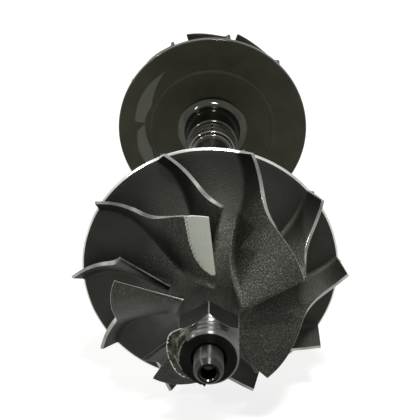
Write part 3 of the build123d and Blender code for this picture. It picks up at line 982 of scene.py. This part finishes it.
@dataclass
class TurbineWheel:
    """Cast turbine wheel with a full back disc.

    Attributes:
        disc_y: y of the disc's face on the shaft side, which the other lengths start from.
        boss_length: length of the boss between the disc and the shaft's seal land.
        boss_face_radius: radius of the boss at the seal land.
        boss_radius: radius of the boss where its fillet starts.
        boss_fillet: radius of the fillet between the boss and the disc.
        boss_edge: rounding of the boss's end at the seal land.
        pilot: radius and depth of the hole that takes the shaft's pilot.
        radius: radius of the disc.
        step_radius: radius of the low step on the disc's face.
        blades: number of blades.
        phase: angle of the first blade's inlet.
        tip: control points of the blades' tip edge, inlet first.
        root: control points of the root edge.
        hub_end: y where the turned hub ends under the hexagon.
        hexagon: start, end and radius over the corners of the hexagonal nose.
    """

    disc_y: float
    boss_length: float = 14.0
    boss_face_radius: float = 8.6
    boss_radius: float = 8.75
    boss_fillet: float = 3.1
    boss_edge: float = 0.9
    pilot: Point = (5.0, 6.0)
    radius: float = 32.2
    step_radius: float = 20.2
    blades: int = 10
    phase: float = 79.9
    tip: Curve = ((31.5, 9.2, 0.0), (29.8, 10.5, 0.0), (28.9, 14.0, 4.0), (28.7, 21.4, 28.4))
    root: Curve = ((31.0, 1.9, 0.0), (17.0, 3.0, 0.0), (10.0, 11.0, 0.5), (9.0, 22.0, 28.4))
    hub_end: float = 23.6
    hexagon: Triple = (22.6, 29.5, 7.3)

    SEGMENTS = 240
    HEXAGON_SEGMENTS = 120
    RIM_ROWS = 5
    FINISHES = {
        Surface.CAST: CastFinish(
            "cast_nickel_alloy", (0.022, 0.021, 0.016), (0.034, 0.032, 0.025), rough=(0.35, 0.55),
            grain=2.6e-4, grain_depth=5e-5,
        ),
        # Disc face with a painted crescent reflection near the rim and a painted shade line at its step.
        Surface.MACHINED: DiscPaintedCrescentAndShadeFinish(
            TurnedFinish(
                "turned_nickel_alloy", (0.023, 0.022, 0.014), (0.030, 0.029, 0.019), 0.42, 2.5e-4, 3e-6,
                stretch=0.3, metallic=0.8,
            ),
            # ground is the lighter colour of the painted crescent reflection.
            ground=(0.068, 0.068, 0.058),
            outer=(
                (-60, 22.0), (-45, 22.0), (-34, 26.6), (-16, 26.9), (-1.5, 26.1), (5.4, 23.0), (6.2, 27.1),
                (22, 27.4), (34, 27.3), (53, 26.5), (60, 22.0), (120, 22.0),
            ),
            inner=(
                (-60, 26.0), (-45, 25.0), (-34, 22.8), (-19, 22.0), (5.4, 23.1), (11, 23.0), (22, 22.2),
                (34, 23.6), (53, 26.2), (60, 28.0), (120, 28.0),
            ),
        ),
        Surface.GROUND: TurnedFinish(
            "ground_nickel_alloy", (0.04, 0.04, 0.034), (0.06, 0.06, 0.05), 0.12, 6e-5, 2e-6, stretch=0.4
        ),
    }

    def build(self) -> None:
        """Makes the wheel and dresses it."""
        maker = MeshMaker(origin_y=self.disc_y)
        pilot_radius, pilot_depth = self.pilot
        inside = [(0.0, pilot_depth - self.boss_length), (pilot_radius, pilot_depth - self.boss_length)]
        boss_end = self.boss_radius + self.boss_fillet
        boss = rounded([
            (pilot_radius, -self.boss_length),
            (self.boss_face_radius, -self.boss_length, self.boss_edge),
            (self.boss_radius, -self.boss_fillet),
        ])
        for angle in np.linspace(0, math.pi / 2, 20)[1:]:
            across, back = self.boss_fillet * math.cos(angle), self.boss_fillet * (1 - math.sin(angle))
            boss.append((boss_end - across, -back))
        face = rounded([
            (boss_end + 0.5, 0.0),
            (self.step_radius, 0.0, 0.3),
            (self.step_radius + 1.2, 0.3, 0.5),
            (self.radius, 0.3, 0.35),
            (self.radius, 2.2),
        ])
        hub = meridian(((self.radius, 2.2, 0), *self.root[1:]), 48)[1:]
        end = rounded([
            self.root[3][:2],
            (7.3, self.hub_end, 0.6),
            (5.5, self.hub_end),
            (0.0, self.hub_end),
        ])
        points, faces = lathe(inside + boss + face + hub + end[1:], self.SEGMENTS)
        rim_end = len(boss) + len(face)
        marks = []
        for i in range(len(faces) // self.SEGMENTS):
            ground = i < len(boss) or rim_end - self.RIM_ROWS <= i < rim_end
            band = Surface.GROUND if ground else Surface.MACHINED if i <= rim_end else Surface.CAST
            marks += [band] * self.SEGMENTS
        maker.add(points, faces, marks)
        shell, blade_faces, blade_marks, _ = Blade(
            self.root, self.tip, 0.0,
            root_thickness=2.1, tip_thickness=((0.0, 0.9), (1.0, 0.9)),
            fillets=(1.8, 1.8), sink=(0.6, 1.2), nose=(0.3, 2.2),
        ).shell()
        for k in range(self.blades):
            maker.add(spun(shell, self.phase + k * 360 / self.blades), blade_faces, blade_marks)
        self.add_hexagon(maker)
        wheel = maker.build("turbine_casting", sharp_degrees=35, finishes=self.FINISHES)
        seat(wheel, "rotor")
        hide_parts("turbine_wheel")

    def add_hexagon(self, maker: MeshMaker) -> None:
        """Adds the hexagonal nose, its end chamfered and centre drilled."""
        start, end, corners = self.hexagon
        turn = whole_turn(self.HEXAGON_SEGMENTS)
        to_flat = (turn + math.pi / 6) % (math.pi / 3) - math.pi / 6
        outline = np.minimum(corners * math.cos(math.pi / 6) / np.cos(to_flat), corners - 0.25)
        sections = (
            (start, corners), (end - 0.9, corners), (end - 0.35, corners - 0.35),
            (end, corners - 1.1), (end, 2.0), (end - 1.4, 0.9),
        )
        rings = [ring(np.minimum(outline, most), y, turn) for y, most in sections]
        points = np.concatenate(rings)
        faces = ring_faces(len(sections), len(turn), close_rows=False)
        faces.append(tuple(range(len(turn))))
        faces.append(tuple(reversed(range(len(points) - len(turn), len(points)))))
        maker.add(points, faces, [Surface.CAST] * len(faces))


@dataclass
class Shaft:
    """Stepped shaft from its bare nose to the pilot in the turbine wheel.

    Attributes:
        nose_y: y of the nose's end in the solids.
        end_y: y of the pilot's end inside the turbine wheel.
        shoulder_y: y of the shoulder that the stack is clamped on.
        bushes: (start, end) of each floating bush.
        stub: radius of the stub that carries the stack, the wheel and the nut.
        journal: radius under the bushes.
        waist: radius between the bushes.
        neck: radius between the bushes and the seal land.
        land: radius of the seal land.
        land_length: length of the seal land.
        groove_depth: depth of the seal ring grooves.
        pilot: radius and length of the pilot.
        centre_hole: radius of the centre hole.
        bare_length: length of the stub that stands in and out of the lock nut, rough turned.
        proud: how far the nose's end stands in front of nose_y.
    """

    nose_y: float
    end_y: float
    shoulder_y: float
    bushes: tuple[Point, Point]
    stub: float = 3.8
    journal: float = 5.5
    waist: float = 5.0
    neck: float = 6.2
    land: float = 7.67
    land_length: float = 7.5
    groove_depth: float = 1.6
    pilot: Point = (5.0, 6.0)
    centre_hole: float = 1.7
    bare_length: float = 22.0
    proud: float = 0.6

    SEGMENTS = 192
    HOLE_DEPTH = 6.0
    SINK_R = 2.28
    CHAMFER_END = 1.6
    FINISHES = {
        Surface.GROUND: TurnedFinish(
            "ground_steel", (0.14, 0.14, 0.13), (0.21, 0.21, 0.195), 0.14, 6e-5, 2e-6
        ),
        Surface.MACHINED: TurnedFinish(
            "rough_turned_stub", (0.04, 0.04, 0.036), (0.11, 0.11, 0.10), 0.3, 2.2e-4, 4e-6, stretch=1.0
        ),
        Surface.BLACKENED: TurnedFinish(
            "blackened_nose_end", (0.005, 0.005, 0.004), (0.010, 0.010, 0.009), 0.45, 1.5e-4, 2e-6,
            stretch=0.0,
        ),
        Surface.HOLE: TurnedFinish(
            "drilled_centre", (0.020, 0.020, 0.018), (0.032, 0.032, 0.029), 0.2, 1.5e-4, 2e-6, stretch=0.0
        ),
        Surface.CHAMFER: TurnedFinish(
            "turned_chamfer", (0.035, 0.035, 0.031), (0.06, 0.06, 0.054), 0.42, 2.2e-4, 5e-6, stretch=1.0
        ),
    }

    def outline(self) -> list[Point]:
        """Outline from the bottom of the centre hole to the pilot's end."""
        pilot_radius, pilot_length = self.pilot
        boss_y = self.end_y - pilot_length
        land_y = boss_y - self.land_length
        neck_y = self.bushes[1][1] + 0.5
        nose = self.nose_y - self.proud
        corners: list[tuple[float, ...]] = [
            (0.0, nose + 5.6),
            (self.centre_hole, nose + 5.0),
            (self.centre_hole, nose + 1.1, 0.2),
            (1.9, nose + 0.45, 0.1),
            (2.3, nose, 0.05),
            (2.75, nose, 0.15),
            (self.stub, nose + 1.5, 0.6),
            (self.stub, nose + self.bare_length),
            (self.stub, self.shoulder_y, 0.0),
            (self.journal - 0.4, self.shoulder_y, 0.05),
            (self.journal, self.shoulder_y + 0.4, 0.1),
            (self.journal, self.bushes[0][1] + 1.5, 0.3),
            (self.waist, self.bushes[0][1] + 3.0, 0.8),
            (self.waist, self.bushes[1][0] - 3.0, 0.8),
            (self.journal, self.bushes[1][0] - 1.5, 0.3),
            (self.journal, neck_y, 0.1),
            (self.neck, neck_y + 0.3, 0.1),
            (self.neck, land_y, 0.35),
            (self.land - 0.3, land_y, 0.1),
            (self.land, land_y + 0.3, 0.15),
        ]
        for start in (land_y + 1.5, land_y + 4.5):
            corners += [
                (self.land, start - 0.05, 0.04),
                (self.land - self.groove_depth, start - 0.05),
                (self.land - self.groove_depth, start + 1.55),
                (self.land, start + 1.55, 0.04),
            ]
        corners += [(self.land, boss_y), (pilot_radius, boss_y)]
        corners += [(pilot_radius, self.end_y), (0.0, self.end_y)]
        return rounded(corners)

    def surface(self, y: float, radius: float) -> Surface:
        """What a face is, from its distance behind the nose's end and its radius."""
        if y < self.HOLE_DEPTH and radius < self.SINK_R:
            return Surface.HOLE
        if y < 0.15:
            return Surface.BLACKENED
        if y < self.CHAMFER_END:
            return Surface.CHAMFER
        return Surface.MACHINED if y < self.bare_length else Surface.GROUND

    def build(self) -> None:
        """Makes the shaft and dresses it."""
        maker = MeshMaker()
        points, faces = lathe(self.outline(), self.SEGMENTS)
        marks = []
        for face in faces:
            y = sum(points[i, 1] for i in face) / len(face) - self.nose_y + self.proud
            marks.append(self.surface(y, math.hypot(*points[face[0]][::2])))
        maker.add(points, faces, marks)
        shaft = maker.build("shaft_turned", sharp_degrees=40, finishes=self.FINISHES)
        seat(shaft, "rotor")
        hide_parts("shaft")


@dataclass
class LockNut:
    """Hexagon nut with a turned, stepped front and a lip left by balance grinding.

    Attributes:
        back_y: y of the face on the wheel's hub.
        face_y: y of the front face.
        corners: radius over the hexagon's corners.
        hex_height: length of the hexagon.
        face_radius: radius of the flat front face.
        mouth: radius of the countersunk thread mouth.
        bore: radius of the bore.
        steps: (distance in front of the hexagon, radius) along the turned front.
        lip: (degrees, radius) along the thin edge that hand grinding for balance left.
        lip_rise: (distance in front of the hexagon, share of the lip's height) of that edge.
        lip_foot: radius that the lip rises from.
    """

    back_y: float
    face_y: float
    corners: float = 8.93
    hex_height: float = 7.2
    face_radius: float = 7.16
    mouth: float = 4.5
    bore: float = 3.8
    steps: tuple[Point, ...] = (
        (-1.0, 8.93), (-0.5, 8.8), (0.2, 8.35), (0.75, 8.12), (1.2, 7.6), (1.5, 7.55), (1.6, 7.9),
        (2.6, 7.86), (2.7, 7.5), (3.3, 7.5), (3.45, 7.84), (4.6, 7.8), (4.75, 7.42), (5.2, 7.42),
        (5.3, 7.72), (6.7, 7.7), (7.0, 7.5), (7.2, 7.16),
    )
    lip: tuple[Point, ...] = (
        (138.0, 7.9), (142.0, 9.0), (150.0, 9.9), (157.0, 10.7), (162.0, 10.88), (186.0, 10.75),
        (203.0, 10.65), (217.0, 10.88), (230.0, 10.8), (238.0, 10.3), (246.0, 9.7), (255.0, 8.9),
        (264.0, 7.9),
    )
    lip_rise: tuple[Point, ...] = (
        (-2.0, 0.0), (0.0, 0.55), (1.0, 0.92), (1.25, 1.0), (1.6, 1.0), (1.75, 0.80), (2.3, 0.42),
        (3.2, 0.24), (5.0, 0.10), (6.9, -0.10),
    )
    lip_foot: float = 7.75

    COLUMNS = 480
    ROUGHNESS = 0.3
    LIP_BAND = (1.3, 1.6)
    CORNER_DEGREES = 29.0
    LEAST_RADIUS = 7.2
    FACE_FROM = 7.15
    FINISHES = {
        Surface.MACHINED: TurnedFinish(
            "turned_nut_steel", (0.065, 0.065, 0.06), (0.14, 0.14, 0.13), 0.3, 1.2e-4, 9e-6, stretch=1.0
        ),
        Surface.SCORED: ScoredFinish(),
        # Front face dark in its own right; on the mouth and bore the darkness is painted shade.
        Surface.BLACKENED: TurnedFinish(
            "dark_nut_face_painted_shade_mouth", (0.006, 0.0066, 0.0054), (0.010, 0.0105, 0.009), 0.42, 1.5e-4, 6e-6,
            stretch=0.85,
        ),
        Surface.FLAT: TurnedFinish(
            "oxidised_nut_flats", (0.011, 0.0122, 0.0106), (0.0155, 0.0168, 0.0146), 0.5, 4e-4, 2e-6,
            stretch=0.0, metallic=0.9,
        ),
        # Painted highlight: bright finish on the lip's edge band and the hexagon's corners.
        Surface.EDGE_HIGHLIGHT: TurnedFinish(
            "painted_lip_and_corner_highlight", (0.28, 0.28, 0.26), (0.42, 0.42, 0.40), 0.3, 1.2e-4, 4e-6, stretch=0.5
        ),
    }

    def ground_radius(self, turn: np.ndarray, front: float) -> np.ndarray:
        """Radius of the hand-ground side at a distance in front of the hexagon, 0 elsewhere."""
        lip = np.interp(turn, *zip(*self.lip), left=0, right=0)
        rise = np.interp(front, *zip(*self.lip_rise))
        return np.where(lip > 0, self.lip_foot + (lip - self.lip_foot) * rise, 0)

    def section(self, turn: np.ndarray, front: float, rough: np.ndarray) -> tuple[np.ndarray, np.ndarray]:
        """One ring of the nut.

        Args:
            turn: its angles in degrees.
            front: its distance in front of the hexagon.
            rough: unevenness of the hand-ground side at each angle, around 0.

        Returns:
            The radius at each angle, and what the face in front of it is.
        """
        flat = self.corners * math.cos(math.pi / 6)
        from_middle = (turn - 30) % 60 - 30
        hexagon = np.minimum(flat / np.cos(np.radians(from_middle)), self.corners - 0.1)
        near_corner = np.abs(from_middle) > self.CORNER_DEGREES
        turned = float(np.interp(front, *zip(*self.steps))) if front > -1.0 else math.inf
        body = np.minimum(hexagon, turned)
        wedge = self.ground_radius(turn, front)
        grinding = wedge > body + 0.02
        on_edge = self.LIP_BAND[0] < front < self.LIP_BAND[1]
        radius = np.where(grinding, wedge + (0.0 if on_edge else self.ROUGHNESS) * rough, body)
        radius = np.maximum(radius, self.LEAST_RADIUS) if front < self.FACE_FROM else radius
        # Painted highlight on the lip's edge band and on the hexagon's corners behind the turned front.
        at_corner = near_corner & (front < -1.0)
        plain = np.where(at_corner, Surface.EDGE_HIGHLIGHT, Surface.MACHINED)
        plain = np.where((body < turned - 0.01) & ~near_corner, Surface.FLAT, plain)
        return radius, np.where(grinding, Surface.EDGE_HIGHLIGHT if on_edge else Surface.SCORED, plain)

    def build(self) -> None:
        """Makes the nut and dresses it."""
        rng = np.random.default_rng(5)
        turn = np.linspace(0, 360, self.COLUMNS, endpoint=False)
        angle = np.radians(turn)
        front = self.hex_height + np.linspace(-0.9, 7.2, 109)
        depths = np.concatenate([np.linspace(0, self.hex_height - 1, 6), front])
        rough = rng.normal(0, 1, (len(depths), self.COLUMNS))
        for axis in (0, 1, 1, 1):
            rough = (rough + np.roll(rough, 1, axis)) / 2
        rings, marks = [], []
        for depth, uneven in zip(depths, rough):
            radius, band = self.section(turn, depth - self.hex_height, uneven)
            rings.append(ring(radius, self.back_y - depth, angle))
            marks += band.tolist()
        inner = (
            (self.face_radius - 0.15, self.face_y),
            (self.mouth + 0.1, self.face_y),
            (self.mouth, self.face_y + 0.1),
            (self.bore, self.face_y + 0.9),
            (self.bore, self.back_y),
        )
        rings += [ring(radius, y, angle) for radius, y in inner]
        # Front face, mouth and bore share the dark finish: the face's own colour, and painted shade in the
        # mouth and bore.
        marks[-self.COLUMNS:] = [Surface.BLACKENED] * self.COLUMNS * (1 + len(inner))
        maker = MeshMaker()
        maker.add(np.concatenate(rings), ring_faces(len(rings), self.COLUMNS, close_rows=True), marks)
        nut = maker.build("lock_nut_body", sharp_degrees=24, finishes=self.FINISHES)
        seat(nut, "rotor")
        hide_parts("lock_nut")


class BearingPieces:
    """Pieces between the wheels that keep their solids: bearings, thrust stack and rings."""

    FINISHES = {
        TurnedFinish("bearing_bronze", (0.36, 0.22, 0.09), (0.52, 0.34, 0.16), 0.26, 1.4e-4, 8e-6): (
            "thrust_bearing", "compressor_journal_bush", "turbine_journal_bush",
        ),
        TurnedFinish("tube_steel", (0.20, 0.20, 0.20), (0.32, 0.32, 0.31), 0.34, 2.2e-4, 1.2e-5): (
            "bearing_spacer",
        ),
        TurnedFinish("hardened_steel", (0.30, 0.30, 0.30), (0.42, 0.42, 0.42), 0.2, 8e-5, 3e-6): (
            "thrust_collar", "thrust_washer", "oil_flinger",
        ),
        TurnedFinish("ring_iron", (0.08, 0.08, 0.08), (0.13, 0.13, 0.13), 0.34, 1e-4, 5e-6): (
            "turbine_seal_ring_inner", "turbine_seal_ring_outer",
            "compressor_seal_ring_inner", "compressor_seal_ring_outer",
        ),
    }

    def build(self) -> None:
        """Dresses each solid."""
        for finish, nodes in self.FINISHES.items():
            material = finish.make()
            for node in nodes:
                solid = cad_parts[node]
                solid.data.materials.clear()
                solid.data.materials.append(material)
                log.info("%s dressed", node)


@dataclass
class Studio:
    """Camera, floor, lamps and world.

    Attributes:
        rim_y: y of the compressor wheel's rim plane in millimetres, which the camera's place is
            given from.
        wheel_low: (y, radius) in millimetres where the compressor wheel meets the floor.
        disc_low: the same for the turbine disc.
        camera_from_rim: the camera's place, in millimetres.
        camera_pitch: degrees that the camera looks down.
        camera_turn: degrees that it is turned to the left.
        focal_length: focal length in millimetres on a 36 mm sensor.
        floor_glow: strength of the floor where it is seen directly.
        horizon: strength of the world's light at the horizon and below.
        zenith: strength straight overhead.
    """

    rim_y: float
    wheel_low: Point
    disc_low: Point
    camera_from_rim: Triple = (2.83, -405.24, 195.98)
    camera_pitch: float = 23.768
    camera_turn: float = 0.408
    focal_length: float = 137.14
    floor_glow: float = 0.82
    horizon: float = 0.28
    zenith: float = 0.08

    FALL_HEIGHTS = (0.1, 0.5)
    FRONT_SIDE = (-0.95, -0.4)
    FRONT_SHARE = 0.2
    LAMPS = (
        ("overhead", (0.08, -0.42, 0.79), (0.16, 0.12), 8.4),
        ("overhead_left", (-0.60, -0.30, 0.56), (0.07, 0.07), 2.1),
        ("behind_left", (-0.25, 0.75, 0.62), (0.55, 0.45), 1.9),
    )

    def camera(self) -> None:
        """Camera at the photograph's viewing angle."""
        data = bpy.data.cameras.new("camera")
        data.lens = self.focal_length
        data.sensor_width = 36.0
        data.clip_start = 0.01
        camera = bpy.data.objects.new("camera", data)
        x, y, z = self.camera_from_rim
        camera.location = (x * MM, (self.rim_y + y) * MM, z * MM)
        camera.rotation_euler = (math.radians(90 - self.camera_pitch), 0, math.radians(self.camera_turn))
        bpy.context.scene.collection.objects.link(camera)
        bpy.context.scene.camera = camera

    def floor(self) -> None:
        """Pale floor that both wheels lie on: white where seen directly, but for their shadow."""
        (y0, r0), (y1, r1) = self.wheel_low, self.disc_low
        slope = math.atan2(r0 - r1, y1 - y0)
        bpy.ops.mesh.primitive_plane_add(size=6.0)
        floor = bpy.context.object
        floor.name = "floor"
        floor.rotation_euler = (slope, 0, 0)
        floor.location = (0, y0 * MM, -(r0 + 0.1) * MM)
        n = Nodes.start("floor")
        n.surface({"Base Color": (0.26, 0.26, 0.25, 1), "Roughness": 0.8})
        glow = n.math("MULTIPLY", n.seen_directly(), self.floor_glow)
        white = n.node("ShaderNodeEmission", {"Strength": glow}).outputs[0]
        both = n.node("ShaderNodeAddShader", {0: n.shader.outputs[0], 1: white}).outputs[0]
        n.feed(n.owner.node_tree.nodes["Material Output"].inputs["Surface"], both)
        floor.data.materials.append(n.owner)

    def lamp(self, name: str, place: Triple, size: Point, power: float) -> None:
        """Rectangular area lamp that looks at the frame's origin."""
        data = bpy.data.lights.new(name, "AREA")
        data.shape = "RECTANGLE"
        data.size, data.size_y = size
        data.energy = power
        lamp = bpy.data.objects.new(name, data)
        lamp.location = place
        lamp.rotation_euler = (-Vector(place)).to_track_quat("-Z", "Y").to_euler()
        bpy.context.scene.collection.objects.link(lamp)

    def world(self) -> None:
        """Soft light from the sides and behind, less from above and in front; white where seen."""
        world = bpy.data.worlds.new("studio")
        world.use_nodes = True
        n = Nodes(world)
        direction = n.axes(n.node("ShaderNodeTexCoord").outputs["Generated"])
        fall = n.spread(direction["Z"], self.horizon, self.zenith, self.FALL_HEIGHTS, "SMOOTHSTEP")
        front = n.spread(direction["Y"], self.FRONT_SHARE, 1.0, self.FRONT_SIDE)
        strength = n.math("MAXIMUM", n.math("MULTIPLY", fall, front), n.seen_directly())
        background = world.node_tree.nodes["Background"]
        n.feed(background.inputs["Color"], (1, 1, 1, 1))
        n.feed(background.inputs["Strength"], strength)
        bpy.context.scene.world = world

    def build(self) -> None:
        """Sets up the whole studio."""
        self.camera()
        self.floor()
        self.world()
        for lamp in self.LAMPS:
            self.lamp(*lamp)
        bpy.context.scene.view_settings.view_transform = "Standard"
        log.info("studio ready")


def node_span(node: str) -> Point:
    """Lowest and highest y of a node, in millimetres."""
    low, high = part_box(node)
    return low[1] / MM, high[1] / MM


def main() -> None:
    """Builds the rotor and its studio."""
    logging.basicConfig(level=logging.INFO, format="%(name)s: %(message)s")
    compressor = CompressorWheel(back_y=node_span("compressor_wheel")[1])
    compressor.build()
    turbine = TurbineWheel(disc_y=node_span("turbine_wheel")[0] + TurbineWheel.boss_length)
    turbine.build()
    Shaft(
        nose_y=node_span("shaft")[0],
        end_y=node_span("shaft")[1],
        shoulder_y=node_span("thrust_washer")[1],
        bushes=(node_span("compressor_journal_bush"), node_span("turbine_journal_bush")),
    ).build()
    LockNut(back_y=node_span("lock_nut")[1], face_y=node_span("lock_nut")[0]).build()
    BearingPieces().build()
    Studio(
        rim_y=compressor.rim_y,
        wheel_low=(compressor.rim_y + compressor.tip[3][1], compressor.tip[3][0]),
        disc_low=(turbine.disc_y, turbine.radius),
    ).build()


if __name__ == "__main__":
    main()
